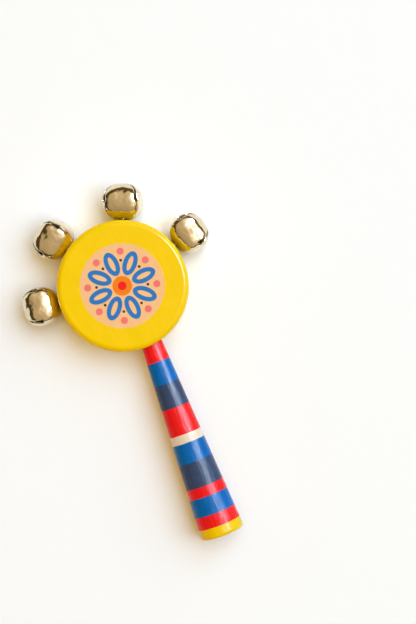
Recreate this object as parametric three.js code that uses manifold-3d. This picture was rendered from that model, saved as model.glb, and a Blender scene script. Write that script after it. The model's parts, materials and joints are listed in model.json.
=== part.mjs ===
// Bell rattle: a wooden disc on a turned handle, with four jingle bells stapled to its rim.
// Millimetres, +Z up. The origin is the centre of the disc's back face, on which the rattle lies.
// +Y points from the handle to the bells, and the front of the disc faces +Z.
import * as THREE from "three";
import { mergeVertices } from "three/addons/utils/BufferGeometryUtils.js";
import Module from "manifold-3d";

const wasm = await Module();
wasm.setup();

// Disc
const DISC_DIAMETER = 70;
const DISC_THICKNESS = 24;
const DISC_EDGE_RADIUS = 3;

// Handle, turned from one piece with its tenon, leaning a little in the plane of the disc
const HANDLE_LENGTH = 109;
const HANDLE_NECK_DIAMETER = 11.6;
const HANDLE_END_DIAMETER = 24;
const HANDLE_END_RADIUS = 2;
const HANDLE_LEAN_DEGREES = 5.5;
const TENON_DIAMETER = 8;
const TENON_LENGTH = 18;
const TENON_CHAMFER = 0.8;

// Staple that holds a bell to the rim
const STAPLE_WIRE_DIAMETER = 0.9;
const STAPLE_WIDTH = 2.8;
const STAPLE_LEG_LENGTH = 9;

// Wire loop inside a bell, whose bar passes through the staple's crown and keeps the bell on it
const LOOP_WIRE_DIAMETER = 0.8;
const LOOP_WIDTH = 6.6;
const LOOP_BEND_RADIUS = 0.7;
const LOOP_END_LENGTH = 2.2;
const LOOP_END_RISE_DEGREES = 55;
const BELL_SWING_DEGREES = 10;
const BELL_RIM_GAP = 0.45;

// Bell shell: four leaves, squared in cross-section, parted by tapered slots with round ends
const BELL_WIDTH = 20.8;
const BELL_HEIGHT = 19.5;
const BELL_WALL = 0.6;
const BELL_SQUARENESS = 4;
const BELL_FULLNESS = 2.4;
const SLOT_TIP_WIDTH = 0.5;
const SLOT_WAIST_WIDTH = 0.9;
const SLOT_FLARE_HEIGHT = 4.5;
const SLOT_HOLE_DIAMETER = 2.6;
const PELLET_DIAMETER = 6;

// Clearances
const WOOD_GAP = 0.3;
const WIRE_GAP = 0.25;
const PELLET_GAP = 0.3;
const TABLE_GAP = 0.8;
const BORE_END_ROOM = 1;
const CUT_ROOM = 1;

// Bells round the rim: the angle from +Y, and the turn of each bell about its own axis
const BELLS = [
  { angleDegrees: -77, rollDegrees: -3 },
  { angleDegrees: -25.5, rollDegrees: -7 },
  { angleDegrees: 30.5, rollDegrees: -8 },
  { angleDegrees: 78, rollDegrees: 4 },
];

// Facets
const DISC_SEGMENTS = 64;
const HANDLE_SEGMENTS = 40;
const BELL_SEGMENTS = 28;
const BELL_RINGS = 11;
const ROUNDOVER_STEPS = 4;
const BORE_SEGMENTS = 24;
const PILOT_SEGMENTS = 8;
const PELLET_SEGMENTS = 12;
const WIRE_SIDES = 8;
const STAPLE_STEPS = 24;
const LOOP_STEPS = 20;
const SLOT_CURVE_STEPS = 8;
const MERGE_DISTANCE = 1e-4;

// Places that follow from the sizes
const discRadius = DISC_DIAMETER / 2;
const midHeight = DISC_THICKNESS / 2;
const lean = THREE.MathUtils.degToRad(HANDLE_LEAN_DEGREES);
const neckRadius = HANDLE_NECK_DIAMETER / 2;
const seatDepth = handleSeatDepth();
const stapleRadius = STAPLE_WIRE_DIAMETER / 2;
const loopRadius = LOOP_WIRE_DIAMETER / 2;
const crownRadius = STAPLE_WIDTH / 2;
const swing = THREE.MathUtils.degToRad(BELL_SWING_DEGREES);
const loopStand = BELL_WALL + baseRise(LOOP_WIDTH / 2) + WIRE_GAP + loopRadius;
const loopReach = BELL_RIM_GAP + loopStand;
const crownReach = loopReach + loopRadius + WIRE_GAP + stapleRadius;
const crownSweep = crownRadius + stapleRadius + WIRE_GAP + loopStand * Math.sin(swing);
const baseHoleRadius = crownSweep / Math.cos(swing);
const bellCentreReach = BELL_HEIGHT / 2 - loopStand;
const bellRestHeight = BELL_WIDTH / 2 + TABLE_GAP;
const droop = Math.asin((midHeight - bellRestHeight) / bellCentreReach);
const pelletDrop = BELL_WIDTH / 2 - BELL_WALL - PELLET_GAP - PELLET_DIAMETER / 2;

const yellowLacquer = new THREE.MeshStandardMaterial({ color: 0xfecf0f, roughness: 0.35 });
const stripedLacquer = new THREE.MeshStandardMaterial({ color: 0xf62a28, roughness: 0.4 });
const nickel = new THREE.MeshStandardMaterial({ color: 0xd9d3c7, roughness: 0.12, metalness: 1 });
const zincWire = new THREE.MeshStandardMaterial({ color: 0xc4c6c8, roughness: 0.3, metalness: 1 });
const steel = new THREE.MeshStandardMaterial({ color: 0x9a9a9c, roughness: 0.4, metalness: 1 });

// The flat seat of the handle is cut just deep enough for the whole neck to land inside the rim,
// which curves away from it on both sides and leans to one.
function handleSeatDepth() {
  const sideways = neckRadius + WOOD_GAP;
  const reach = sideways * sideways + 2 * discRadius * sideways * Math.sin(lean);
  return reach / (2 * discRadius * Math.cos(lean)) + WOOD_GAP;
}

// How far the inside of a bell's rounded base has risen at a distance from its middle
function baseRise(distance) {
  const share = distance / (BELL_WIDTH / 2 - BELL_WALL);
  const height = BELL_HEIGHT / 2 - BELL_WALL;
  return height * (1 - (1 - share ** BELL_FULLNESS) ** (1 / BELL_FULLNESS));
}

// Joining and cutting

function solidOf(geometry) {
  const bare = geometry.index ? geometry.toNonIndexed() : geometry.clone();
  bare.deleteAttribute("normal");
  bare.deleteAttribute("uv");
  const merged = mergeVertices(bare, MERGE_DISTANCE);
  const corners = merged.index.array;
  const triangles = [];
  for (let i = 0; i < corners.length; i += 3) {
    const [a, b, c] = corners.slice(i, i + 3);
    if (a !== b && b !== c && c !== a) triangles.push(a, b, c);
  }
  const vertProperties = merged.attributes.position.array;
  const triVerts = new Uint32Array(triangles);
  return new wasm.Manifold(new wasm.Mesh({ numProp: 3, vertProperties, triVerts }));
}

function cutAll(body, cutters) {
  return cutters.reduce((rest, cutter) => rest.subtract(cutter), body);
}

function namedMesh(name, solid, material) {
  const { vertProperties, triVerts } = solid.getMesh();
  const geometry = new THREE.BufferGeometry();
  geometry.setAttribute("position", new THREE.BufferAttribute(vertProperties, 3));
  geometry.setIndex(new THREE.BufferAttribute(triVerts, 1));
  geometry.computeVertexNormals();
  const mesh = new THREE.Mesh(geometry, material);
  mesh.name = name;
  return mesh;
}

// Profiles and wires

function quarterArc(centreX, centreY, radius, startAngle) {
  const points = [];
  for (let i = 0; i <= ROUNDOVER_STEPS; i++) {
    const angle = startAngle + (i / ROUNDOVER_STEPS) * (Math.PI / 2);
    points.push(new THREE.Vector2(centreX + radius * Math.cos(angle), centreY + radius * Math.sin(angle)));
  }
  return points;
}

// A bore along Y from one height to another.
function bore(radius, fromY, toY, segments) {
  const geometry = new THREE.CylinderGeometry(radius, radius, toY - fromY, segments);
  return geometry.translate(0, (fromY + toY) / 2, 0);
}

// A path of straight runs through the points, with each corner rounded.
function bentPath(points, bendRadius) {
  const path = new THREE.CurvePath();
  let start = points[0];
  for (let i = 1; i < points.length - 1; i++) {
    const corner = points[i];
    const back = points[i - 1].clone().sub(corner).normalize();
    const ahead = points[i + 1].clone().sub(corner).normalize();
    const trim = bendRadius / Math.tan(back.angleTo(ahead) / 2);
    const bendStart = corner.clone().addScaledVector(back, trim);
    const bendEnd = corner.clone().addScaledVector(ahead, trim);
    path.add(new THREE.LineCurve3(start, bendStart));
    path.add(new THREE.QuadraticBezierCurve3(bendStart, corner, bendEnd));
    start = bendEnd;
  }
  path.add(new THREE.LineCurve3(start, points[points.length - 1]));
  return path;
}

function bentWire(points, bendRadius, wireRadius, steps) {
  const section = new THREE.Shape();
  for (let i = 0; i < WIRE_SIDES; i++) {
    const angle = (i / WIRE_SIDES) * 2 * Math.PI;
    const x = wireRadius * Math.cos(angle);
    const y = wireRadius * Math.sin(angle);
    if (i === 0) section.moveTo(x, y);
    else section.lineTo(x, y);
  }
  const extrudePath = bentPath(points, bendRadius);
  return new THREE.ExtrudeGeometry(section, { steps, extrudePath, bevelEnabled: false });
}

// Places of the handle and of a bell in the frame of the whole

function handlePlace() {
  const turn = new THREE.Matrix4().makeRotationZ(Math.PI - lean);
  return turn.setPosition(0, -discRadius, midHeight);
}

// On the rim, with Y pointing outwards and X along the rim.
function rimPlace(angleDegrees) {
  const angle = THREE.MathUtils.degToRad(angleDegrees);
  const turn = new THREE.Matrix4().makeRotationZ(angle);
  return turn.setPosition(-discRadius * Math.sin(angle), discRadius * Math.cos(angle), midHeight);
}

// Pieces

function discSolid() {
  const edge = DISC_EDGE_RADIUS;
  const profile = [
    new THREE.Vector2(0, 0),
    ...quarterArc(discRadius - edge, edge, edge, -Math.PI / 2),
    ...quarterArc(discRadius - edge, DISC_THICKNESS - edge, edge, 0),
    new THREE.Vector2(0, DISC_THICKNESS),
  ];
  const blank = new THREE.LatheGeometry(profile, DISC_SEGMENTS).rotateX(Math.PI / 2);

  const outside = seatDepth + CUT_ROOM;
  const socketEnd = -seatDepth - TENON_LENGTH - BORE_END_ROOM;
  const seat = bore(neckRadius + WOOD_GAP, -seatDepth, outside, BORE_SEGMENTS);
  const socket = bore(TENON_DIAMETER / 2 + WOOD_GAP, socketEnd, 0, BORE_SEGMENTS);
  const cutters = [seat, socket].map((cutter) => cutter.applyMatrix4(handlePlace()));

  for (const { angleDegrees } of BELLS) {
    for (const side of [-1, 1]) {
      const pilotEnd = -STAPLE_LEG_LENGTH - BORE_END_ROOM;
      const pilot = bore(stapleRadius + WIRE_GAP, pilotEnd, CUT_ROOM, PILOT_SEGMENTS);
      pilot.translate(0, 0, (side * STAPLE_WIDTH) / 2);
      cutters.push(pilot.applyMatrix4(rimPlace(angleDegrees)));
    }
  }
  return cutAll(solidOf(blank), cutters.map(solidOf));
}

// The handle along +Y, with the rim of the disc at y = 0.
function handleSolid() {
  const shoulder = WOOD_GAP - seatDepth;
  const tip = shoulder - TENON_LENGTH;
  const end = shoulder + HANDLE_LENGTH;
  const tenonRadius = TENON_DIAMETER / 2;
  const endRadius = HANDLE_END_DIAMETER / 2;
  const edge = HANDLE_END_RADIUS;
  const profile = [
    new THREE.Vector2(0, tip),
    new THREE.Vector2(tenonRadius - TENON_CHAMFER, tip),
    new THREE.Vector2(tenonRadius, tip + TENON_CHAMFER),
    new THREE.Vector2(tenonRadius, shoulder),
    new THREE.Vector2(neckRadius, shoulder),
    ...quarterArc(endRadius - edge, end - edge, edge, 0),
    new THREE.Vector2(0, end),
  ];
  return solidOf(new THREE.LatheGeometry(profile, HANDLE_SEGMENTS));
}

// Legs along -Y into the wood, and the crown standing upright, out of the rim and into the bell.
function stapleSolid() {
  const half = STAPLE_WIDTH / 2;
  const points = [
    new THREE.Vector3(0, -STAPLE_LEG_LENGTH, -half),
    new THREE.Vector3(0, crownReach, -half),
    new THREE.Vector3(0, crownReach, half),
    new THREE.Vector3(0, -STAPLE_LEG_LENGTH, half),
  ];
  return solidOf(bentWire(points, crownRadius, stapleRadius, STAPLE_STEPS));
}

// The bar lies on X at the origin, inside the base, and its ends turn up along the inside of the shell.
function loopSolid() {
  const half = LOOP_WIDTH / 2;
  const rise = THREE.MathUtils.degToRad(LOOP_END_RISE_DEGREES);
  const endX = half + LOOP_END_LENGTH * Math.cos(rise);
  const endY = LOOP_END_LENGTH * Math.sin(rise);
  const points = [
    new THREE.Vector3(-endX, endY, 0),
    new THREE.Vector3(-half, 0, 0),
    new THREE.Vector3(half, 0, 0),
    new THREE.Vector3(endX, endY, 0),
  ];
  return solidOf(bentWire(points, LOOP_BEND_RADIUS, loopRadius, LOOP_STEPS));
}

// A revolved full oval, squared so that its four faces are flatter than its corners.
function squaredOval(halfWidth, halfHeight) {
  const profile = [];
  for (let i = 0; i <= BELL_RINGS; i++) {
    const angle = -Math.PI / 2 + (i / BELL_RINGS) * Math.PI;
    const out = i % BELL_RINGS === 0 ? 0 : Math.cos(angle) ** (2 / BELL_FULLNESS);
    const up = Math.sign(Math.sin(angle)) * Math.abs(Math.sin(angle)) ** (2 / BELL_FULLNESS);
    profile.push(new THREE.Vector2(halfWidth * out, halfHeight * up));
  }
  const geometry = new THREE.LatheGeometry(profile, BELL_SEGMENTS);
  const places = geometry.attributes.position;
  for (let i = 0; i < places.count; i++) {
    const angle = Math.atan2(places.getZ(i), places.getX(i));
    const across = Math.abs(Math.cos(angle)) ** BELL_SQUARENESS;
    const along = Math.abs(Math.sin(angle)) ** BELL_SQUARENESS;
    const swell = (across + along) ** (-1 / BELL_SQUARENESS);
    places.setX(i, places.getX(i) * swell);
    places.setZ(i, places.getZ(i) * swell);
  }
  return geometry;
}

// A pair of opposite slots: a long taper from the crown that flares into a round hole at the waist.
function slotPair(turn) {
  const hole = SLOT_HOLE_DIAMETER / 2;
  const tip = SLOT_TIP_WIDTH / 2;
  const waist = SLOT_WAIST_WIDTH / 2;
  const flare = SLOT_FLARE_HEIGHT;
  const top = BELL_HEIGHT / 2 + CUT_ROOM;
  const outline = new THREE.Shape();
  outline.moveTo(tip, top);
  outline.lineTo(-tip, top);
  outline.lineTo(-waist, flare);
  outline.bezierCurveTo(-waist, flare / 2, -hole, flare / 2, -hole, 0);
  outline.absarc(0, 0, hole, Math.PI, 2 * Math.PI, false);
  outline.bezierCurveTo(hole, flare / 2, waist, flare / 2, waist, flare);
  outline.closePath();
  const depth = 2 * BELL_WIDTH;
  const cut = { depth, bevelEnabled: false, curveSegments: SLOT_CURVE_STEPS };
  return new THREE.ExtrudeGeometry(outline, cut).translate(0, 0, -depth / 2).rotateY(turn);
}

function bellSolid() {
  const outer = squaredOval(BELL_WIDTH / 2, BELL_HEIGHT / 2);
  const inner = squaredOval(BELL_WIDTH / 2 - BELL_WALL, BELL_HEIGHT / 2 - BELL_WALL);
  const base = -BELL_HEIGHT / 2;
  const baseHole = bore(baseHoleRadius, base - CUT_ROOM, base + loopStand, BORE_SEGMENTS);
  const cutters = [inner, slotPair(Math.PI / 4), slotPair(-Math.PI / 4), baseHole];
  const shell = cutAll(solidOf(outer), cutters.map(solidOf));
  return shell.translate([0, bellCentreReach, 0]);
}

function pelletSolid() {
  const ball = new THREE.SphereGeometry(PELLET_DIAMETER / 2, PELLET_SEGMENTS, PELLET_SEGMENTS / 2 + 2);
  return solidOf(ball.translate(0, bellCentreReach, -pelletDrop));
}

// Assembly

function placedGroup(matrix) {
  const group = new THREE.Group();
  group.applyMatrix4(matrix);
  return group;
}

function bellGroup(number, { angleDegrees, rollDegrees }) {
  const onRim = placedGroup(rimPlace(angleDegrees));
  onRim.add(namedMesh(`bell_staple_${number}`, stapleSolid(), zincWire));

  const swinging = new THREE.Group();
  swinging.position.set(0, loopReach, 0);
  swinging.rotation.x = -droop;
  swinging.add(namedMesh(`bell_loop_${number}`, loopSolid(), zincWire));
  swinging.add(namedMesh(`bell_pellet_${number}`, pelletSolid(), steel));
  onRim.add(swinging);

  const rolled = new THREE.Group();
  rolled.rotation.y = THREE.MathUtils.degToRad(rollDegrees);
  rolled.add(namedMesh(`bell_shell_${number}`, bellSolid(), nickel));
  swinging.add(rolled);
  return onRim;
}

const rattle = new THREE.Group();
rattle.name = "bell_rattle";
rattle.add(namedMesh("head_disc", discSolid(), yellowLacquer));

const handle = placedGroup(handlePlace());
handle.add(namedMesh("handle", handleSolid(), stripedLacquer));
rattle.add(handle);

BELLS.forEach((bell, index) => rattle.add(bellGroup(index + 1, bell)));

export default rattle;
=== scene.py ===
"""Looks of a wooden bell rattle: a lacquered disc, a striped handle and four jingle bells."""

import json
import math

import bpy
from bpy.props import FloatProperty, FloatVectorProperty, PointerProperty
from mathutils import Matrix, Vector


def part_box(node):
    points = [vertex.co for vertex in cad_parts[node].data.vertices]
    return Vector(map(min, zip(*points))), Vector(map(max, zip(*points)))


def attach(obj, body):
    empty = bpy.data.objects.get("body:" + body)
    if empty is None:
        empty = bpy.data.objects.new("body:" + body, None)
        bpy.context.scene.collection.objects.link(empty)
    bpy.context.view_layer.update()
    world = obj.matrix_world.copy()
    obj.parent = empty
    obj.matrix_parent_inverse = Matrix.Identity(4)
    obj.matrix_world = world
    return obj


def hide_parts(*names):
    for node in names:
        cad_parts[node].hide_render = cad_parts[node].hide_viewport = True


bl_info = {
    "name": "Bell Rattle",
    "version": (1, 0, 0),
    "blender": (4, 5, 0),
    "location": "View3D > Sidebar > Rattle",
    "description": "Models a wooden bell rattle with a disc, a striped handle and jingle bells",
    "category": "Add Mesh",
}

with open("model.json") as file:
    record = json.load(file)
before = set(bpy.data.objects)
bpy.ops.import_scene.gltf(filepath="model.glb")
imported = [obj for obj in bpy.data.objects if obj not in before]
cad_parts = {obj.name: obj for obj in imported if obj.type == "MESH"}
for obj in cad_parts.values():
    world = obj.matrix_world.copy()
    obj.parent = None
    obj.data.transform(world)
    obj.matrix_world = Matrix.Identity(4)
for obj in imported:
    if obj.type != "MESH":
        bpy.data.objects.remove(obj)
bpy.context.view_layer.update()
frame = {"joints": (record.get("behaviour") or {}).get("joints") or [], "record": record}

MM = 0.001
BELL_NUMBERS = (1, 2, 3, 4)
QUARTER_TURN = math.pi / 2
EIGHTH_TURN = math.pi / 4
BLACK = (0.0, 0.0, 0.0)

# Facets
DISC_SIDES = 192
HANDLE_SIDES = 128
EDGE_STEPS = 10
BORE_SIDES = 64
PILOT_SIDES = 24
WIRE_SIDES = 16
BEND_STEPS = 10
LEAF_COLUMNS = 16
CROWN_RINGS = 18
FLARE_RINGS = 5
HOLE_RINGS = 6
BASE_RINGS = 12
PELLET_SUBDIVISIONS = 5

# How nearly the normal of a flat face follows its axis, and the rim that keeps its shading flat
FLAT = 0.999
INSET = 0.3 * MM

# Nip of a wire's end and start of a pellet's flats, as shares of the radius
NIP_SHARE = 0.2
PELLET_FLAT = 0.96

# Radius of the opening in a bell's crown, in widths of a slot there
CROWN_OPENING = 2.2

# Steps of the search for a leaf's edge, and how close two coordinates count as one
HALVINGS = 40
SAME = 1e-4

# Vertex group of a bell's leaves, which are less even than its base
UNEVEN = "uneven"

# Stripes of the handle: the colour and where it ends, from the rim of the disc to the free end
STRIPES = (
    ("red", 9.2 * MM),
    ("blue", 21.8 * MM),
    ("slate", 35.2 * MM),
    ("red", 50.0 * MM),
    ("cream", 55.0 * MM),
    ("blue", 65.7 * MM),
    ("slate", 79.2 * MM),
    ("red", 85.0 * MM),
    ("blue", 94.9 * MM),
    ("red", 101.5 * MM),
    ("yellow", 110.0 * MM),
)
STRIPE_WOBBLE = 0.15 * MM

# Print on the disc, in millimetres: middles from its axis, and half the length and width of ovals
PETAL_COUNT = 8
PETAL_MIDDLE = 12.6
PETAL_OUTSIDE = (6.6, 3.7)
PETAL_INSIDE = (4.0, 1.3)
LARGE_DOT_MIDDLE = 18.3
LARGE_DOT = (1.9, 1.9)
SMALL_DOT_MIDDLE = 13.6
SMALL_DOT = (0.75, 0.75)
HEART_RADIUS = 5.2
HEART_CORE_RADIUS = 2.3
PRINT_BLUR = 0.06
PRINT_DEPTH = 0.2

# Painted shade on the plating of the bells near their bases: full up to the first distance outwards from the
# rim, none beyond the second
BASE_SHADE_FULL = 3.0 * MM
BASE_SHADE_NONE = 8.0 * MM


def srgb(red, green, blue):
    """A colour of the screen, from 0 to 255, as the linear colour that a shader takes."""
    shares = [value / 255 for value in (red, green, blue)]
    return tuple(s / 12.92 if s <= 0.04045 else ((s + 0.055) / 1.055) ** 2.4 for s in shares)


def length_property(name, description, default):
    return FloatProperty(name=name, description=description, default=default, unit="LENGTH", precision=5)


def number_property(name, description, default):
    return FloatProperty(name=name, description=description, default=default)


def angle_property(name, description, degrees):
    return FloatProperty(name=name, description=description, default=math.radians(degrees), unit="ROTATION")


def colour_property(name, description, default, brightest=1.0):
    return FloatVectorProperty(
        name=name, description=description, default=default, subtype="COLOR", size=3, min=0.0, max=brightest
    )


# Places that come from the frame


def record_entry(entries, name):
    """The mount or joint of that name."""
    for entry in entries:
        if entry["name"] == name:
            return entry
    raise ValueError(f"the record has nothing named {name}")


def disc_sizes():
    """Radius and thickness of the disc, whose back lies on the origin."""
    low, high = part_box("head_disc")
    return (high.x - low.x) / 2, high.z - low.z


def handle_line():
    """Where the handle's axis crosses the rim, its direction to the free end and its length from there."""
    mount = record_entry(frame["record"]["mounts"], "handle_end")
    end = Vector(mount["pos_m"])
    direction = Vector(mount["axis"]).normalized()
    radius, thickness = disc_sizes()
    rim = Vector((0.0, -radius, thickness / 2))
    return rim, direction, (end - rim).dot(direction)


def handle_place():
    """Z along the handle towards its free end, from the rim of the disc."""
    rim, direction, _ = handle_line()
    across = Vector((0.0, 0.0, 1.0))
    return placed(across, direction.cross(across), direction, rim)


def bell_place(number):
    """X along the bar of the loop, Y from the loop to the crown, Z up through the top leaf."""
    swing = record_entry(frame["joints"], f"bell_{number}_swing")
    roll = record_entry(frame["joints"], f"pellet_{number}_roll")
    along = Vector(swing["axis"]).normalized()
    up = Vector(roll["axis"]).normalized()
    return placed(along, up.cross(along), up, Vector(swing["pos_m"]))


def bell_reach(number):
    """From the bar of the loop to the middle of the bell."""
    low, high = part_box(f"bell_pellet_{number}")
    place = bell_place(number)
    return ((low + high) / 2 - place.translation).dot(place.col[1].to_3d())


def rim_place(number):
    """X along the rim, Y outwards, Z up, on the rim where a staple goes in."""
    radius, thickness = disc_sizes()
    along = Vector(record_entry(frame["joints"], f"bell_{number}_swing")["axis"]).normalized()
    up = Vector((0.0, 0.0, 1.0))
    outwards = up.cross(along)
    return placed(along, outwards, up, outwards * radius + up * thickness / 2)


def placed(x_axis, y_axis, z_axis, origin):
    """The matrix of a frame with these axes."""
    matrix = Matrix((x_axis, y_axis, z_axis)).transposed().to_4x4()
    matrix.translation = origin
    return matrix


# Settings that a user would change


class RattleSizes(bpy.types.PropertyGroup):
    """Sizes of the pieces."""

    disc_edge_radius: length_property("Disc edge", "Rounding of the disc's edges", 3.0 * MM)
    seat_gap: length_property("Glue line", "Gap round the handle and the wires in the wood", 0.04 * MM)
    seat_depth: length_property("Seat depth", "How deep the flat seat of the handle is cut", 1.42 * MM)
    neck_diameter: length_property("Neck", "Diameter of the handle at the disc", 11.6 * MM)
    end_edge_radius: length_property("Handle end edge", "Rounding of the handle's free end", 2.0 * MM)
    end_diameter: length_property("Handle end", "Diameter of the handle at its free end", 24.0 * MM)
    tenon_diameter: length_property("Tenon", "Diameter of the tenon in the disc", 8.0 * MM)
    tenon_length: length_property("Tenon length", "How far the tenon reaches into the disc", 18.0 * MM)
    tenon_chamfer: length_property("Tenon chamfer", "Chamfer on the end of the tenon", 0.8 * MM)
    tenon_room: length_property("Socket room", "Room for glue behind the tenon", 1.0 * MM)

    staple_wire: length_property("Staple wire", "Diameter of the staple's wire", 0.9 * MM)
    staple_width: length_property("Staple width", "Distance between the staple's legs", 2.8 * MM)
    staple_reach: length_property("Staple reach", "How far the crown stands out of the rim", 3.086 * MM)
    staple_leg: length_property("Staple leg", "How deep the legs go into the wood", 9.0 * MM)

    loop_wire: length_property("Loop wire", "Diameter of the loop's wire", 0.8 * MM)
    loop_width: length_property("Loop width", "Length of the loop's bar between its corners", 6.6 * MM)
    loop_bend: length_property("Loop bend", "Radius of the loop's bends", 0.7 * MM)
    loop_end: length_property("Loop end", "Length of the loop's turned-up ends", 2.2 * MM)
    loop_rise: angle_property("Loop rise", "How steeply the loop's ends turn up", 55.0)

    bell_width: length_property("Bell width", "Width of a bell across its leaves", 20.8 * MM)
    bell_height: length_property("Bell height", "Height of a bell from base to crown", 19.5 * MM)
    bell_wall: length_property("Bell wall", "Thickness of the sheet metal", 0.6 * MM)
    bell_squareness: number_property("Squareness", "2 is a round bell, more is a squarer one", 4.0)
    bell_fullness: number_property("Fullness", "2 is an oval side, more is a fuller one", 2.4)
    slot_tip: length_property("Slot at the crown", "Width of a slot at the crown", 0.5 * MM)
    slot_waist: length_property("Slot at the waist", "Width of a slot above its hole", 0.9 * MM)
    slot_hole: length_property("Slot hole", "Diameter of the hole that ends a slot", 2.6 * MM)
    slot_flare: length_property("Slot flare", "How far a slot flares above its hole", 4.5 * MM)
    base_hole: length_property("Base hole", "Diameter of the hole for the staple", 4.81 * MM)
    dent_depth: length_property("Dents", "Depth of the uneven places in the leaves", 0.8 * MM)
    dent_size: length_property("Dent size", "Size of the uneven places in the leaves", 6.0 * MM)
    bell_rolls: FloatVectorProperty(
        name="Bell rolls",
        description="Turn of each bell about its own axis",
        size=4,
        unit="ROTATION",
        default=[math.radians(degrees) for degrees in (-3.0, -7.0, -8.0, 4.0)],
    )
    pellet_diameter: length_property("Pellet", "Diameter of the pellet in a bell", 6.0 * MM)
    print_radius: length_property("Print", "Radius of the printed field on the disc", 22.5 * MM)


class RattleColours(bpy.types.PropertyGroup):
    """Colours of the finishes."""

    yellow: colour_property("Yellow", "Lacquer of the disc and the handle's end", srgb(255, 208, 0))
    red: colour_property("Red", "Red stripes", srgb(252, 28, 28))
    blue: colour_property("Blue", "Blue stripes", srgb(0, 106, 182))
    slate: colour_property("Slate", "Slate stripes", srgb(60, 75, 106))
    cream: colour_property("Cream", "Cream stripe", srgb(247, 224, 194))
    bounce: colour_property("Bounce", "Warm light that the handle throws on the floor", (0.62, 0.27, 0.02))
    peach: colour_property("Peach", "Field of the print", srgb(253, 195, 133))
    petal: colour_property("Petal", "Petals of the print", srgb(45, 122, 190))
    orange: colour_property("Orange", "Heart of the print", srgb(250, 130, 20))
    coral: colour_property("Coral", "Dots of the print", srgb(250, 120, 115))
    charcoal: colour_property("Charcoal", "Small dots of the print", srgb(70, 60, 58))
    nickel: colour_property("Nickel", "Plating of the bells", (0.78, 0.68, 0.48))
    # Painted shade: darker plating near the bells' bases, beside the disc
    base_shade: colour_property("Base shade", "Plating near the bells' bases", (0.60, 0.51, 0.37))
    zinc: colour_property("Zinc", "Plating of the wires", (0.72, 0.72, 0.71))
    steel: colour_property("Steel", "Tumbled pellets", (0.42, 0.42, 0.43))
    floor: colour_property("Floor", "Plain pale floor", (0.985, 0.98, 0.945))


class RattleStage(bpy.types.PropertyGroup):
    """Camera, lamps and surroundings."""

    camera_height: length_property("Camera height", "Height of the camera above the floor", 0.802)
    camera_turn: angle_property("Camera turn", "Turn of the picture about the view's axis", -26.06)
    camera_lens: number_property("Lens", "Focal length in millimetres on a 36 mm sensor", 85.0)
    camera_x: length_property("Camera X", "Place of the camera above the floor", 34.62 * MM)
    camera_y: length_property("Camera Y", "Place of the camera above the floor", -32.3 * MM)
    lamp_azimuth: angle_property("Lamp azimuth", "Direction of the lamps, from the picture's right", 32.0)
    lamp_distance: length_property("Lamp distance", "Distance of the lamps", 6.0)
    soft_colour: colour_property("Soft colour", "Colour of the soft lamp", (0.405, 0.645, 1.0))
    soft_elevation: angle_property("Soft elevation", "Height of the soft lamp above the floor", 61.5)
    soft_strength: number_property("Soft lamp", "Watts of the wide lamp that lights the rattle", 427.0)
    soft_width: length_property("Soft width", "Width of the soft lamp", 5.0)
    soft_length: length_property("Soft length", "Length of the soft lamp", 8.0)
    side_colour: colour_property("Side colour", "Colour of the side lamp", (0.6, 0.8, 1.0))
    side_elevation: angle_property("Side elevation", "Height of the side lamp above the floor", 28.0)
    side_strength: number_property("Side lamp", "Watts of the low lamp that lights the sides", 108.0)
    side_width: length_property("Side width", "Width of the side lamp", 3.0)
    side_length: length_property("Side length", "Length of the side lamp", 8.0)
    glint_colour: colour_property("Glint colour", "Colour of the glint lamp", (0.67, 0.81, 1.0))
    glint_elevation: angle_property("Glint elevation", "Height of the glint lamp above the floor", 51.0)
    glint_strength: number_property("Glint lamp", "Watts of the small lamp that shows in the gloss", 1830.0)
    glint_width: length_property("Glint width", "Width of the glint lamp", 1.7)
    glint_length: length_property("Glint length", "Length of the glint lamp", 3.0)
    fill: colour_property("Fill", "Warm light from overhead", (1.37, 0.92, 0.28), brightest=3.0)
    sky: colour_property("Ceiling", "Ceiling that shows in the gloss", (0.67, 0.515, 0.31))
    horizon: colour_property("Horizon", "Dark band round the horizon", (0.115, 0.075, 0.028))
    backdrop: colour_property("Backdrop", "Pale wall that the camera sees", (0.955, 0.945, 0.915))
    glow: colour_property("Glow", "Glow round the glint lamp, in the gloss", (2.4, 2.2, 2.1), brightest=3.0)
    glow_tightness: number_property("Glow tightness", "How closely the glow keeps to the glint lamp", 10.0)
    fill_tightness: number_property("Fill tightness", "How closely the fill keeps to the zenith", 3.0)
    sky_lean: number_property("Ceiling lean", "How much brighter the lamps' side is", 0.35)
    band_azimuth: angle_property("Band azimuth", "Low side of the band, from the picture's right", -40.0)
    band_lean: number_property("Band lean", "How far the dark band stands up on its high side", 0.2)
    band_top: number_property("Band top", "Rise at which the dark band begins to end", 0.42)
    ceiling_start: number_property("Ceiling start", "Rise at which the dark band has ended", 0.55)
    floor_size: length_property("Floor size", "Length of the floor's sides", 4.0)
    fade_start: length_property("Fade start", "Where the floor begins to fade into the backdrop", 0.4)
    fade_end: length_property("Fade end", "Where the floor has faded into the backdrop", 1.1)


def sizes_of(context):
    return context.scene.rattle_sizes


def colours_of(context):
    return context.scene.rattle_colours


def stage_of(context):
    return context.scene.rattle_stage


def darker(colour, share):
    return tuple(share * part for part in colour)


# Modelling helpers


def deselect_all():
    """Leaves edit mode and deselects everything, so that an operator acts on the new piece alone."""
    active = bpy.context.view_layer.objects.active
    if active is not None and active.mode != "OBJECT":
        bpy.ops.object.mode_set(mode="OBJECT")
    bpy.ops.object.select_all(action="DESELECT")


def select_only(piece):
    deselect_all()
    bpy.context.view_layer.objects.active = piece
    piece.select_set(True)


def new_piece(name):
    """The primitive that was just added, with its place applied."""
    piece = bpy.context.view_layer.objects.active
    piece.name = name
    piece.data.name = name
    bpy.ops.object.transform_apply(location=True, rotation=True, scale=True)
    return piece


def put(piece, matrix):
    """Moves a finished shape to its place and applies that to its mesh."""
    select_only(piece)
    piece.matrix_world = matrix
    bpy.ops.object.transform_apply(location=True, rotation=True, scale=True)


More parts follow.
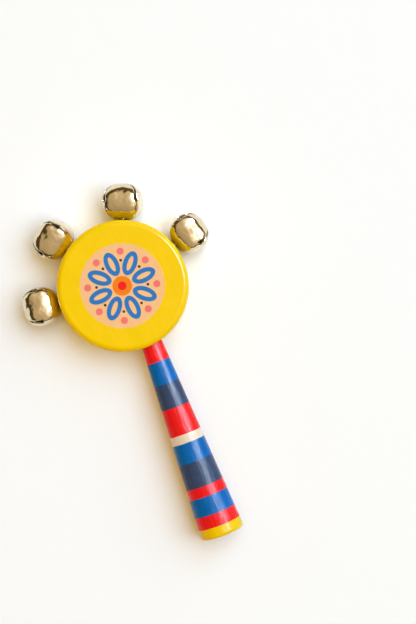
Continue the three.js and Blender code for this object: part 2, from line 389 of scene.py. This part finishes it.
def pick(piece, kind, test):
    """Goes to edit mode with the parts of that kind selected that pass the test.

    The test gets the middle and the normal of a face, the ends of an edge or the place of a vertex.
    """
    bpy.ops.object.mode_set(mode="EDIT")
    bpy.ops.mesh.select_mode(type=kind)
    bpy.ops.mesh.select_all(action="DESELECT")
    bpy.ops.object.mode_set(mode="OBJECT")
    mesh = piece.data
    if kind == "FACE":
        for face in mesh.polygons:
            face.select = test(face.center, face.normal)
    elif kind == "EDGE":
        for edge in mesh.edges:
            first, second = (mesh.vertices[i].co for i in edge.vertices)
            edge.select = test(first, second)
    else:
        for vertex in mesh.vertices:
            vertex.select = test(vertex.co)
    bpy.ops.object.mode_set(mode="EDIT")


def leave_edit():
    bpy.ops.object.mode_set(mode="OBJECT")


def close_up(merge_distance):
    """In edit mode: merges doubles and turns all faces outwards."""
    bpy.ops.mesh.select_all(action="SELECT")
    bpy.ops.mesh.remove_doubles(threshold=merge_distance)
    bpy.ops.mesh.normals_make_consistent(inside=False)
    leave_edit()


def apply_modifier(piece, name, kind, **settings):
    """Adds a modifier, sets it and applies it."""
    modifier = piece.modifiers.new(name, kind)
    for key, value in settings.items():
        setattr(modifier, key, value)
    bpy.context.view_layer.objects.active = piece
    bpy.ops.object.modifier_apply(modifier=modifier.name)


def bore_out(piece, radius, start, end, place, sides):
    """Drills a round hole between two points on the Z axis of a place."""
    deselect_all()
    bpy.ops.mesh.primitive_cylinder_add(vertices=sides, radius=radius, depth=end - start)
    drill = new_piece("drill")
    put(drill, place @ Matrix.Translation((0.0, 0.0, (start + end) / 2)))
    select_only(piece)
    apply_modifier(piece, "Bore", "BOOLEAN", operation="DIFFERENCE", object=drill, solver="EXACT")
    bpy.data.objects.remove(drill)


def bend_wire(name, points, bend_radius, wire_radius):
    """A round wire through the points: its section, extruded straight and spun round each corner."""
    deselect_all()
    heading = (points[1] - points[0]).normalized()
    turn = heading.to_track_quat("Z", "Y").to_euler()
    bpy.ops.mesh.primitive_circle_add(
        vertices=WIRE_SIDES, radius=wire_radius, fill_type="NGON", location=points[0], rotation=turn
    )
    wire = new_piece(name)
    bpy.ops.object.mode_set(mode="EDIT")
    bpy.ops.mesh.select_mode(type="FACE")
    bpy.ops.mesh.select_all(action="SELECT")
    here = points[0]
    for corner, after in zip(points[1:-1], points[2:]):
        ahead = (after - corner).normalized()
        turned = heading.angle(ahead)
        trim = bend_radius * math.tan(turned / 2)
        bend_start = corner - heading * trim
        axis = heading.cross(ahead).normalized()
        centre = bend_start + axis.cross(heading) * bend_radius
        bpy.ops.mesh.extrude_region_move(TRANSFORM_OT_translate={"value": bend_start - here})
        bpy.ops.mesh.spin(steps=BEND_STEPS, angle=-turned, center=centre, axis=axis)
        here = corner + ahead * trim
        heading = ahead
    bpy.ops.mesh.extrude_region_move(TRANSFORM_OT_translate={"value": points[-1] - here})
    close_up(wire_radius / 100)
    nip = NIP_SHARE * wire_radius
    ends = (points[0], points[-1])
    pick(wire, "FACE", lambda middle, _: any((middle - end).length < nip for end in ends))
    bpy.ops.mesh.bevel(offset=nip, segments=2, affect="EDGES")
    leave_edit()
    smooth(wire)
    return wire


def smooth(piece, degrees=35.0):
    select_only(piece)
    bpy.ops.object.shade_smooth_by_angle(angle=math.radians(degrees))


def copy_piece(piece, name):
    """A copy with a mesh of its own."""
    select_only(piece)
    bpy.ops.object.duplicate(linked=False)
    copy = bpy.context.view_layer.objects.active
    copy.name = name
    copy.data.name = name
    return copy


def dress(piece, material, body, node):
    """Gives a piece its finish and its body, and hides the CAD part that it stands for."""
    piece.data.materials.clear()
    piece.data.materials.append(material)
    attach(piece, body)
    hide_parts(node)


# Finishes


class Nodes:
    """A node tree and short ways to add nodes to it."""

    def __init__(self, tree):
        self.tree = tree

    def add(self, kind):
        return self.tree.nodes.new(kind)

    def feed(self, socket, value):
        if isinstance(value, bpy.types.NodeSocket):
            self.tree.links.new(value, socket)
        elif value is not None:
            socket.default_value = value

    def math(self, operation, first, second=None, third=None):
        node = self.add("ShaderNodeMath")
        node.operation = operation
        for socket, value in zip(node.inputs, (first, second, third)):
            self.feed(socket, value)
        return node.outputs[0]

    def hypotenuse(self, first, second):
        squares = (self.math("MULTIPLY", side, side) for side in (first, second))
        return self.math("SQRT", self.math("ADD", *squares))

    def split(self, vector):
        node = self.add("ShaderNodeSeparateXYZ")
        self.feed(node.inputs[0], vector)
        return node.outputs

    def along(self, vector, direction):
        """How far a vector goes in a direction."""
        node = self.add("ShaderNodeVectorMath")
        node.operation = "DOT_PRODUCT"
        self.feed(node.inputs[0], vector)
        self.feed(node.inputs[1], direction)
        return node.outputs["Value"]

    def stretched(self, vector, scale):
        node = self.add("ShaderNodeMapping")
        self.feed(node.inputs["Vector"], vector)
        node.inputs["Scale"].default_value = scale
        return node.outputs[0]

    def noise(self, vector, scale, detail=2.0, roughness=0.5):
        node = self.add("ShaderNodeTexNoise")
        self.feed(node.inputs["Vector"], vector)
        node.inputs["Scale"].default_value = scale
        node.inputs["Detail"].default_value = detail
        node.inputs["Roughness"].default_value = roughness
        return node.outputs["Fac"]

    def between(self, value, low, high, to_low=0.0, to_high=1.0):
        """A value between two limits, spread between two others."""
        node = self.add("ShaderNodeMapRange")
        for socket, number in zip(node.inputs, (value, low, high, to_low, to_high)):
            self.feed(socket, number)
        return node.outputs[0]

    def mix(self, share, first, second):
        node = self.add("ShaderNodeMix")
        node.data_type = "RGBA"
        self.feed(node.inputs["Factor"], share)
        for name, colour in (("A", first), ("B", second)):
            socket = next(s for s in node.inputs if s.name == name and s.type == "RGBA")
            self.feed(socket, colour if isinstance(colour, bpy.types.NodeSocket) else (*colour, 1.0))
        return next(s for s in node.outputs if s.type == "RGBA")

    def bump(self, height, distance, below=None):
        node = self.add("ShaderNodeBump")
        node.inputs["Distance"].default_value = distance
        self.feed(node.inputs["Height"], height)
        self.feed(node.inputs["Normal"], below)
        return node.outputs[0]


class Finish(Nodes):
    """A material with its nodes."""

    def __init__(self, name):
        self.material = bpy.data.materials.new(name)
        self.material.use_nodes = True
        super().__init__(self.material.node_tree)
        self.shader = self.tree.nodes["Principled BSDF"]
        self.coordinates = self.add("ShaderNodeTexCoord").outputs["Object"]

    def from_axis(self):
        """Distance from the axis of the disc."""
        x, y, _ = self.split(self.coordinates)
        return self.hypotenuse(x, y)

    def placed(self, place):
        """Object coordinates seen from a place."""
        inverse = place.inverted()
        node = self.add("ShaderNodeMapping")
        self.feed(node.inputs["Vector"], self.coordinates)
        node.inputs["Location"].default_value = inverse.translation
        node.inputs["Rotation"].default_value = inverse.to_euler()
        return node.outputs[0]

    def set(self, **sockets):
        for name, value in sockets.items():
            self.feed(self.shader.inputs[name.replace("_", " ").title()], value)

    def set_shine(self, level):
        self.feed(self.shader.inputs["Specular IOR Level"], level)


def rosette(finish, colours, sizes):
    """A round field with petals, a heart and dots, on the front of the disc."""
    _, thickness = disc_sizes()
    axes = finish.split(finish.coordinates)
    x, y, z = (finish.math("MULTIPLY", axis, 1 / MM) for axis in axes)
    radius = finish.hypotenuse(x, y)
    angle = finish.math("ARCTAN2", y, x)
    front = finish.math("GREATER_THAN", z, thickness / MM - PRINT_DEPTH)

    def inside(distance, edge):
        share = finish.between(distance, edge - PRINT_BLUR, edge + PRINT_BLUR, 1.0, 0.0)
        return finish.math("MULTIPLY", share, front)

    def round_the_field(turn):
        """Distance along and across the nearest spoke, with the spokes turned by a share of their step."""
        step = 2 * math.pi / PETAL_COUNT
        turned = finish.math("ADD", angle, math.pi + turn * step + step / 2)
        local = finish.math("SUBTRACT", finish.math("MODULO", turned, step), step / 2)
        along = finish.math("MULTIPLY", radius, finish.math("COSINE", local))
        across = finish.math("MULTIPLY", radius, finish.math("SINE", local))
        return along, across

    def inside_oval(spokes, middle, half_sizes):
        """Distances are scaled so that the edge lies half a width from the middle all round."""
        along, across = spokes
        half_length, half_width = half_sizes
        first = finish.math("DIVIDE", finish.math("SUBTRACT", along, middle), half_length)
        second = finish.math("DIVIDE", across, half_width)
        distance = finish.math("MULTIPLY", finish.hypotenuse(first, second), half_width)
        return inside(distance, half_width)

    petals = round_the_field(0.0)
    gaps = round_the_field(0.5)
    colour = colours.yellow
    layers = (
        (inside(radius, sizes.print_radius / MM), colours.peach),
        (inside_oval(petals, PETAL_MIDDLE, PETAL_OUTSIDE), colours.petal),
        (inside_oval(petals, PETAL_MIDDLE, PETAL_INSIDE), colours.peach),
        (inside_oval(gaps, LARGE_DOT_MIDDLE, LARGE_DOT), colours.coral),
        (inside_oval(gaps, SMALL_DOT_MIDDLE, SMALL_DOT), colours.charcoal),
        (inside(radius, HEART_RADIUS), colours.orange),
        (inside(radius, HEART_CORE_RADIUS), colours.red),
    )
    for share, paint in layers:
        colour = finish.mix(share, colour, paint)
    return colour


def lacquer(finish, colour, grain_vector, grain_scale, tint, gloss, shine, relief_depth, peel_depth):
    """Lacquer over wood grain, with an uneven skin. The tint says how much the grain darkens it."""
    grain = finish.noise(finish.stretched(grain_vector, grain_scale), scale=1.0, detail=4.0, roughness=0.6)
    cloud = finish.noise(finish.coordinates, scale=90.0, detail=3.0)
    peel = finish.noise(finish.coordinates, scale=1500.0)
    shade = finish.math("ADD", finish.math("MULTIPLY", grain, 0.5), finish.math("MULTIPLY", cloud, 0.5))
    tinted = finish.mix(finish.between(shade, 0.3, 0.7, tint, 0.0), colour, BLACK)
    relief = finish.bump(grain, relief_depth)
    finish.set(
        base_color=tinted,
        roughness=finish.between(shade, 0.35, 0.65, *gloss),
        normal=finish.bump(peel, peel_depth, below=relief),
    )
    finish.set_shine(shine)


def disc_finish(context):
    finish = Finish("disc_lacquer")
    colours = colours_of(context)
    painted = rosette(finish, colours, sizes_of(context))
    lacquer(
        finish,
        painted,
        grain_vector=finish.coordinates,
        grain_scale=(900.0, 60.0, 900.0),
        tint=0.06,
        gloss=(0.22, 0.30),
        shine=0.11,
        relief_depth=0.02 * MM,
        peel_depth=0.002 * MM,
    )
    return finish.material


def handle_finish(context):
    """Stripes of paint. The light they throw on the floor is a painted warm bounce of one colour, so that
    they don't tint it.
    """
    finish = Finish("handle_lacquer")
    colours = colours_of(context)
    local = finish.placed(handle_place())
    wobble = finish.between(finish.noise(local, scale=260.0), 0.0, 1.0, -STRIPE_WOBBLE, STRIPE_WOBBLE)
    along = finish.math("ADD", finish.split(local)[2], wobble)
    ramp = finish.add("ShaderNodeValToRGB")
    ramp.color_ramp.interpolation = "CONSTANT"
    length = STRIPES[-1][1]
    finish.feed(ramp.inputs[0], finish.math("DIVIDE", along, length))
    stops = ramp.color_ramp.elements
    start = 0.0
    for index, (paint, end) in enumerate(STRIPES):
        stop = stops[0] if index == 0 else stops.new(start)
        stop.position = start
        stop.color = (*getattr(colours, paint), 1.0)
        start = end / length
    stops.remove(stops[len(stops) - 1])
    ray = finish.add("ShaderNodeLightPath").outputs
    # Painted bounce light: diffuse rays see the warm bounce colour instead of the stripes, which lights the
    # floor beside the handle
    painted = finish.mix(ray["Is Diffuse Ray"], ramp.outputs[0], colours.bounce)
    lacquer(
        finish,
        painted,
        grain_vector=local,
        grain_scale=(800.0, 800.0, 60.0),
        tint=0.14,
        gloss=(0.18, 0.32),
        shine=0.11,
        relief_depth=0.30 * MM,
        peel_depth=0.08 * MM,
    )
    finish.set(sheen_weight=0.8, sheen_roughness=0.25)
    return finish.material


def nickel_finish(context):
    finish = Finish("nickel_plate")
    ripple = finish.noise(finish.coordinates, scale=230.0, detail=1.2)
    pits = finish.noise(finish.coordinates, scale=1800.0)
    stain = finish.noise(finish.coordinates, scale=160.0, detail=3.0)
    colours = colours_of(context)
    plate = finish.mix(finish.between(stain, 0.45, 0.75), colours.nickel, darker(colours.nickel, 0.93))
    radius, _ = disc_sizes()
    # Painted shade: the plating darkens towards the base, near the disc's rim
    near_rim = finish.between(finish.from_axis(), radius + BASE_SHADE_NONE, radius + BASE_SHADE_FULL)
    finish.set(
        base_color=finish.mix(near_rim, plate, colours.base_shade),
        metallic=1.0,
        roughness=finish.between(stain, 0.3, 0.7, 0.06, 0.11),
        normal=finish.bump(pits, 0.0006 * MM, below=finish.bump(ripple, 0.6 * MM)),
    )
    return finish.material


def wire_finish(context):
    finish = Finish("wire")
    drawn = finish.noise(finish.coordinates, scale=3000.0)
    zinc = colours_of(context).zinc
    finish.set(
        base_color=finish.mix(drawn, zinc, darker(zinc, 0.75)),
        metallic=1.0,
        roughness=finish.between(drawn, 0.3, 0.7, 0.18, 0.32),
        normal=finish.bump(drawn, 0.002 * MM),
    )
    return finish.material


def steel_finish(context):
    finish = Finish("pellet_steel")
    scuffs = finish.noise(finish.coordinates, scale=1500.0, detail=4.0, roughness=0.7)
    steel = colours_of(context).steel
    finish.set(
        base_color=finish.mix(scuffs, steel, darker(steel, 0.6)),
        metallic=1.0,
        roughness=finish.between(scuffs, 0.3, 0.7, 0.3, 0.5),
        normal=finish.bump(scuffs, 0.03 * MM),
    )
    return finish.material


def floor_finish(context):
    """Pale paper that fades into the backdrop far from the rattle, as the camera and the metal see it."""
    finish = Finish("floor_paper")
    stage = stage_of(context)
    fibres = finish.noise(finish.coordinates, scale=1400.0, detail=3.0)
    floor = colours_of(context).floor
    paper = finish.mix(fibres, floor, darker(floor, 0.985))
    ray = finish.add("ShaderNodeLightPath").outputs
    seen = finish.math("MAXIMUM", ray["Is Camera Ray"], ray["Is Glossy Ray"])
    far = finish.between(finish.from_axis(), stage.fade_start, stage.fade_end)
    faded = finish.math("MULTIPLY", far, seen)
    finish.set(
        base_color=finish.mix(faded, paper, BLACK),
        roughness=0.9,
        normal=finish.bump(fibres, 0.01 * MM),
        emission_color=(*stage.backdrop, 1.0),
        emission_strength=faded,
    )
    finish.set_shine(finish.between(faded, 0.0, 1.0, 0.1, 0.0))
    return finish.material


# Shape of a bell


def half_width_at(height, sizes):
    """Radius of the side of the oval at a height from its middle."""
    share = min(abs(height) / (sizes.bell_height / 2), 1.0)
    return sizes.bell_width / 2 * (1 - share**sizes.bell_fullness) ** (1 / sizes.bell_fullness)


def height_at(radius, sizes):
    """Height of the oval's crown above its middle at a radius."""
    share = radius / (sizes.bell_width / 2)
    return sizes.bell_height / 2 * (1 - share**sizes.bell_fullness) ** (1 / sizes.bell_fullness)


def swell(angle, sizes):
    """How far the squared section stands out of the round one at an angle from a leaf's middle."""
    power = sizes.bell_squareness
    return (abs(math.cos(angle)) ** power + abs(math.sin(angle)) ** power) ** (-1 / power)


def slot_half_gap(height, sizes):
    """Half the gap between two leaves: a round end below the waist, a flare and a long taper above it."""
    hole = sizes.slot_hole / 2
    if height <= 0:
        return math.sqrt(max(hole**2 - height**2, 0.0))
    tip, waist, flare = sizes.slot_tip / 2, sizes.slot_waist / 2, sizes.slot_flare
    if height > flare:
        share = (height - flare) / (sizes.bell_height / 2 - flare)
        return waist + (tip - waist) * share
    share = 1 - height / flare
    return waist + (hole - waist) * share**2 * (3 - 2 * share)


def leaf_half_angle(height, sizes):
    """Angle from a leaf's middle to its edge, found by halving."""
    radius = half_width_at(height, sizes)
    gap = slot_half_gap(height, sizes)
    low, high = 0.0, EIGHTH_TURN
    for _ in range(HALVINGS):
        middle = (low + high) / 2
        if radius * swell(middle, sizes) * math.sin(EIGHTH_TURN - middle) > gap:
            low = middle
        else:
            high = middle
    return low


def ring_heights(sizes):
    """Heights of the rings from the crown to the base, close together round the holes."""
    hole = sizes.slot_hole / 2
    flare = sizes.slot_flare
    tip = height_at(CROWN_OPENING * sizes.slot_tip, sizes)
    base = height_at(sizes.base_hole / 2, sizes)
    half = sizes.bell_height / 2
    power = 2 / sizes.bell_fullness

    def down_the_side(start, end, count):
        first, last = (math.asin((edge / half) ** (1 / power)) for edge in (start, end))
        return [half * math.sin(first + (last - first) * i / count) ** power for i in range(count)]

    crown = down_the_side(tip, flare, CROWN_RINGS)
    waist = [flare * (1 - i / FLARE_RINGS) for i in range(FLARE_RINGS)]
    round_end = [-hole * math.sin(QUARTER_TURN * i / HOLE_RINGS) for i in range(HOLE_RINGS + 1)]
    bottom = [-height for height in reversed(down_the_side(base, hole, BASE_RINGS))]
    return crown + waist + round_end + bottom


def bell_shell(sizes):
    """A sphere whose upper half is slit into four leaves, drawn out to a squared oval with a wall."""
    heights = ring_heights(sizes)
    rings = len(heights) + 1
    deselect_all()
    bpy.ops.mesh.primitive_uv_sphere_add(segments=4 * LEAF_COLUMNS, ring_count=rings, radius=1.0)
    shell = new_piece("shell")
    pole_height = math.cos(0.5 * math.pi / rings)
    pick(shell, "VERT", lambda place: abs(place.z) > pole_height)
    bpy.ops.mesh.delete(type="VERT")

    slit_ring = len(heights) - BASE_RINGS
    slit_end = math.cos((slit_ring + 0.5) * math.pi / rings)

    def on_slit(first, second):
        upright = all(abs(abs(place.x) - abs(place.y)) < SAME for place in (first, second))
        return upright and min(first.z, second.z) > slit_end

    leave_edit()
    pick(shell, "EDGE", on_slit)
    bpy.ops.mesh.edge_split(type="EDGE")
    leave_edit()

    leaf_of = {}
    for face in shell.data.polygons:
        leaf = round(math.atan2(face.center.y, face.center.x) / QUARTER_TURN)
        for index in face.vertices:
            leaf_of[index] = leaf
    half_angles = [leaf_half_angle(height, sizes) for height in heights]
    for vertex in shell.data.vertices:
        ring = round(math.acos(vertex.co.z / vertex.co.length) * rings / math.pi) - 1
        middle = leaf_of[vertex.index] * QUARTER_TURN
        off_middle = math.atan2(vertex.co.y, vertex.co.x) - middle
        off_middle = math.remainder(off_middle, 2 * math.pi)
        angle = off_middle / EIGHTH_TURN * half_angles[ring]
        radius = half_width_at(heights[ring], sizes) * swell(angle, sizes)
        vertex.co = Vector((math.cos(middle + angle), math.sin(middle + angle), 0.0)) * radius
        vertex.co.z = heights[ring]

    apply_modifier(shell, "Wall", "SOLIDIFY", thickness=sizes.bell_wall, offset=-1.0, use_even_offset=True)
    apply_modifier(shell, "Rounding", "SUBSURF", levels=1, render_levels=1)
    select_only(shell)
    bpy.ops.object.shade_smooth()

    uneven = shell.vertex_groups.new(name=UNEVEN)
    for vertex in shell.data.vertices:
        share = (vertex.co.z + sizes.slot_hole) / (2 * sizes.slot_hole)
        uneven.add([vertex.index], min(max(share, 0.0), 1.0), "REPLACE")
    return shell


# Operators, one for each piece or group of like pieces


class RATTLE_OT_stage(bpy.types.Operator):
    """Add the floor, the camera, the lamps and the surroundings"""

    bl_idname = "rattle.stage"
    bl_label = "Stage"

    def execute(self, context):
        stage = stage_of(context)
        deselect_all()
        bpy.ops.mesh.primitive_plane_add(size=stage.floor_size)
        floor = new_piece("floor")
        floor.data.materials.append(floor_finish(context))

        aim = Vector((stage.camera_x, stage.camera_y, 0.0))
        bpy.ops.object.camera_add(
            location=aim + Vector((0.0, 0.0, stage.camera_height)), rotation=(0.0, 0.0, stage.camera_turn)
        )
        camera = bpy.context.view_layer.objects.active
        camera.name = "camera"
        camera.data.lens = stage.camera_lens
        camera.data.clip_start = 0.01
        camera.data.clip_end = 100.0
        context.scene.camera = camera

        for kind in ("soft", "side", "glint"):
            self.lamp(stage, kind)
        self.surroundings(context, stage)
        context.scene.view_settings.view_transform = "Standard"
        return {"FINISHED"}

    def lamp(self, stage, kind):
        """A lamp that faces the rattle. The soft and side lamps light it, the glint shows in its gloss."""
        towards = self.way(stage, stage.lamp_azimuth, getattr(stage, f"{kind}_elevation"))
        turn = towards.to_track_quat("Z", "Y").to_euler()
        bpy.ops.object.light_add(type="AREA", location=towards * stage.lamp_distance, rotation=turn)
        lamp = bpy.context.view_layer.objects.active
        lamp.name = f"{kind}_lamp"
        lamp.data.shape = "RECTANGLE"
        lamp.data.size = getattr(stage, f"{kind}_length")
        lamp.data.size_y = getattr(stage, f"{kind}_width")
        lamp.data.energy = getattr(stage, f"{kind}_strength")
        lamp.data.color = getattr(stage, f"{kind}_colour")
        lamp.visible_diffuse = kind != "glint"
        lamp.visible_glossy = kind == "glint"

    def way(self, stage, azimuth, elevation=0.0):
        """Direction by its angle from the picture's right and its height above the floor."""
        turn = stage.camera_turn + azimuth
        flat = math.cos(elevation)
        return Vector((flat * math.cos(turn), flat * math.sin(turn), math.sin(elevation)))

    def surroundings(self, context, stage):
        """Warm light from overhead, a pale wall, and in the gloss a ceiling over a dark band."""
        world = bpy.data.worlds.new("room")
        context.scene.world = world
        world.use_nodes = True
        nodes = Nodes(world.node_tree)
        direction = nodes.add("ShaderNodeTexCoord").outputs["Generated"]
        ray = nodes.add("ShaderNodeLightPath").outputs
        in_gloss = ray["Is Glossy Ray"]
        rise = nodes.split(direction)[2]
        overhead = nodes.math("POWER", nodes.math("MAXIMUM", rise, 0.0), stage.fill_tightness)
        light = nodes.mix(overhead, stage.horizon, stage.fill)

        to_glint = nodes.along(direction, self.way(stage, stage.lamp_azimuth, stage.glint_elevation))
        near_glint = nodes.math("POWER", nodes.math("MAXIMUM", to_glint, 0.0), stage.glow_tightness)
        to_low_side = nodes.along(direction, self.way(stage, stage.band_azimuth))
        leaning_rise = nodes.math("MULTIPLY_ADD", to_low_side, stage.band_lean, rise)
        above_band = nodes.between(leaning_rise, stage.band_top, stage.ceiling_start)
        seen = nodes.mix(above_band, stage.horizon, nodes.mix(near_glint, stage.sky, stage.glow))

        to_lamps = nodes.along(direction, self.way(stage, stage.lamp_azimuth))
        lean = nodes.math("MULTIPLY", in_gloss, stage.sky_lean)
        background = world.node_tree.nodes["Background"]
        around = nodes.mix(in_gloss, light, seen)
        nodes.feed(background.inputs["Color"], nodes.mix(ray["Is Camera Ray"], around, stage.backdrop))
        nodes.feed(background.inputs["Strength"], nodes.math("MULTIPLY_ADD", to_lamps, lean, 1.0))


class RATTLE_OT_disc(bpy.types.Operator):
    """Add the lacquered disc with its rounded edges, its socket and the holes for the staples"""

    bl_idname = "rattle.disc"
    bl_label = "Disc"

    def execute(self, context):
        sizes = sizes_of(context)
        radius, thickness = disc_sizes()
        deselect_all()
        bpy.ops.mesh.primitive_cylinder_add(
            vertices=DISC_SIDES, radius=radius, depth=thickness, location=(0.0, 0.0, thickness / 2)
        )
        disc = new_piece("disc")
        pick(disc, "EDGE", lambda first, second: abs(first.z - second.z) < thickness / 2)
        bpy.ops.mesh.bevel(offset=sizes.disc_edge_radius, segments=EDGE_STEPS, affect="EDGES")
        leave_edit()
        pick(disc, "FACE", lambda _, normal: abs(normal.z) > FLAT)
        bpy.ops.mesh.inset(thickness=INSET)
        leave_edit()

        socket_end = -sizes.seat_depth - sizes.tenon_length - sizes.tenon_room
        place = handle_place()
        gap = sizes.seat_gap
        bore_out(disc, sizes.neck_diameter / 2 + gap, -sizes.seat_depth, radius, place, BORE_SIDES)
        bore_out(disc, sizes.tenon_diameter / 2 + gap, socket_end, 0.0, place, BORE_SIDES)
        outwards = Matrix.Rotation(-QUARTER_TURN, 4, "X")
        clear = radius / 4
        for number in BELL_NUMBERS:
            for side in (-1, 1):
                aside = Matrix.Translation((0.0, 0.0, side * sizes.staple_width / 2))
                leg = rim_place(number) @ aside @ outwards
                bore_out(disc, sizes.staple_wire / 2 + gap, -sizes.staple_leg - gap, clear, leg, PILOT_SIDES)
        smooth(disc)
        dress(disc, disc_finish(context), "rattle", "head_disc")
        return {"FINISHED"}


class RATTLE_OT_handle(bpy.types.Operator):
    """Add the turned handle with its stripes and its tenon"""

    bl_idname = "rattle.handle"
    bl_label = "Handle"

    def execute(self, context):
        sizes = sizes_of(context)
        _, _, end = handle_line()
        shoulder = -sizes.seat_depth + sizes.seat_gap
        taper = (sizes.end_diameter - sizes.neck_diameter) / 2 / (end - sizes.end_edge_radius - shoulder)
        end_radius = sizes.end_diameter / 2 + taper * sizes.end_edge_radius
        middle = (end + shoulder) / 2
        deselect_all()
        bpy.ops.mesh.primitive_cone_add(
            vertices=HANDLE_SIDES,
            radius1=sizes.neck_diameter / 2,
            radius2=end_radius,
            depth=end - shoulder,
            location=(0.0, 0.0, middle),
        )
        handle = new_piece("turned_handle")
        pick(handle, "EDGE", lambda first, second: min(first.z, second.z) > middle)
        bpy.ops.mesh.bevel(offset=sizes.end_edge_radius, segments=EDGE_STEPS, affect="EDGES")
        leave_edit()
        pick(handle, "FACE", lambda _, normal: normal.z > FLAT)
        bpy.ops.mesh.inset(thickness=INSET)
        leave_edit()
        pick(handle, "FACE", lambda _, normal: normal.z < -FLAT)
        bpy.ops.mesh.inset(thickness=(sizes.neck_diameter - sizes.tenon_diameter) / 2)
        bpy.ops.mesh.extrude_region_move(TRANSFORM_OT_translate={"value": (0.0, 0.0, -sizes.tenon_length)})
        bpy.ops.mesh.bevel(offset=sizes.tenon_chamfer, segments=1, affect="EDGES")
        leave_edit()
        put(handle, handle_place())
        smooth(handle)
        dress(handle, handle_finish(context), "rattle", "handle")
        return {"FINISHED"}


class RATTLE_OT_staples(bpy.types.Operator):
    """Add the wire staples that hold the bells to the rim"""

    bl_idname = "rattle.staples"
    bl_label = "Staples"

    def execute(self, context):
        sizes = sizes_of(context)
        half = sizes.staple_width / 2
        # A trace of straight wire stays between the two bends of the crown
        bend_radius = 0.999 * half
        points = [
            Vector((0.0, -sizes.staple_leg, -half)),
            Vector((0.0, sizes.staple_reach, -half)),
            Vector((0.0, sizes.staple_reach, half)),
            Vector((0.0, -sizes.staple_leg, half)),
        ]
        pattern = bend_wire("staple", points, bend_radius, sizes.staple_wire / 2)
        finish = wire_finish(context)
        for number in BELL_NUMBERS:
            staple = copy_piece(pattern, f"staple_{number}")
            put(staple, rim_place(number))
            dress(staple, finish, "rattle", f"bell_staple_{number}")
        bpy.data.objects.remove(pattern)
        return {"FINISHED"}


class RATTLE_OT_bells(bpy.types.Operator):
    """Add the nickel shells, their wire loops and the pellets inside them"""

    bl_idname = "rattle.bells"
    bl_label = "Bells"

    def execute(self, context):
        sizes = sizes_of(context)
        nickel = nickel_finish(context)
        zinc = bpy.data.materials.get("wire") or wire_finish(context)
        steel = steel_finish(context)
        shell_pattern = bell_shell(sizes)
        loop_pattern = self.loop(sizes)
        pellet_pattern = self.pellet(sizes)
        lying = Matrix.Rotation(-QUARTER_TURN, 4, "X")
        dents = bpy.data.textures.new("dents", "CLOUDS")
        dents.cloud_type = "COLOR"
        dents.noise_scale = sizes.dent_size
        dents.noise_depth = 0
        for number in BELL_NUMBERS:
            place = bell_place(number)
            body = f"bell_{number}"
            roll = Matrix.Rotation(sizes.bell_rolls[number - 1], 4, "Y")
            reach = Matrix.Translation((0.0, bell_reach(number), 0.0))

            shell = copy_piece(shell_pattern, f"shell_{number}")
            put(shell, place @ roll @ reach @ lying)
            apply_modifier(
                shell,
                "Dents",
                "DISPLACE",
                texture=dents,
                texture_coords="LOCAL",
                direction="RGB_TO_XYZ",
                strength=sizes.dent_depth,
                mid_level=0.5,
                vertex_group=UNEVEN,
            )
            dress(shell, nickel, body, f"bell_shell_{number}")

            loop = copy_piece(loop_pattern, f"loop_{number}")
            put(loop, place)
            dress(loop, zinc, body, f"bell_loop_{number}")

            low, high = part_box(f"bell_pellet_{number}")
            pellet = copy_piece(pellet_pattern, f"pellet_{number}")
            put(pellet, Matrix.Translation((low + high) / 2) @ place.to_3x3().to_4x4())
            dress(pellet, steel, f"pellet_{number}", f"bell_pellet_{number}")
        for pattern in (shell_pattern, loop_pattern, pellet_pattern):
            bpy.data.objects.remove(pattern)
        return {"FINISHED"}

    def loop(self, sizes):
        """A bar through the staple's crown, inside the base, with its ends turned up along the shell."""
        half = sizes.loop_width / 2
        end_x = half + sizes.loop_end * math.cos(sizes.loop_rise)
        end_y = sizes.loop_end * math.sin(sizes.loop_rise)
        points = [
            Vector((-end_x, end_y, 0.0)),
            Vector((-half, 0.0, 0.0)),
            Vector((half, 0.0, 0.0)),
            Vector((end_x, end_y, 0.0)),
        ]
        return bend_wire("loop", points, sizes.loop_bend, sizes.loop_wire / 2)

    def pellet(self, sizes):
        """A tumbled ball with two small flats."""
        radius = sizes.pellet_diameter / 2
        deselect_all()
        bpy.ops.mesh.primitive_ico_sphere_add(subdivisions=PELLET_SUBDIVISIONS, radius=radius)
        pellet = new_piece("pellet")
        for side in (-1, 1):
            pick(pellet, "VERT", lambda place: place.x * side > PELLET_FLAT * radius)
            bpy.ops.transform.resize(value=(0.0, 1.0, 1.0))
            leave_edit()
        smooth(pellet, degrees=20.0)
        return pellet


class RATTLE_PT_panel(bpy.types.Panel):
    """Lists the operators and their settings."""

    bl_idname = "RATTLE_PT_panel"
    bl_label = "Bell Rattle"
    bl_space_type = "VIEW_3D"
    bl_region_type = "UI"
    bl_category = "Rattle"

    def draw(self, context):
        for operator in OPERATORS:
            self.layout.operator(operator.bl_idname)
        for group in (sizes_of(context), colours_of(context), stage_of(context)):
            column = self.layout.column(align=True)
            for name in group.bl_rna.properties.keys():
                if name not in ("rna_type", "name"):
                    column.prop(group, name)


OPERATORS = (RATTLE_OT_stage, RATTLE_OT_disc, RATTLE_OT_handle, RATTLE_OT_staples, RATTLE_OT_bells)
GROUPS = (RattleSizes, RattleColours, RattleStage)
CLASSES = GROUPS + OPERATORS + (RATTLE_PT_panel,)


def register():
    for cls in CLASSES:
        bpy.utils.register_class(cls)
    bpy.types.Scene.rattle_sizes = PointerProperty(type=RattleSizes)
    bpy.types.Scene.rattle_colours = PointerProperty(type=RattleColours)
    bpy.types.Scene.rattle_stage = PointerProperty(type=RattleStage)


def unregister():
    del bpy.types.Scene.rattle_stage
    del bpy.types.Scene.rattle_colours
    del bpy.types.Scene.rattle_sizes
    for cls in reversed(CLASSES):
        bpy.utils.unregister_class(cls)


def main():
    register()
    bpy.ops.rattle.stage()
    bpy.ops.rattle.disc()
    bpy.ops.rattle.handle()
    bpy.ops.rattle.staples()
    bpy.ops.rattle.bells()
    deselect_all()


if __name__ == "__main__":
    main()
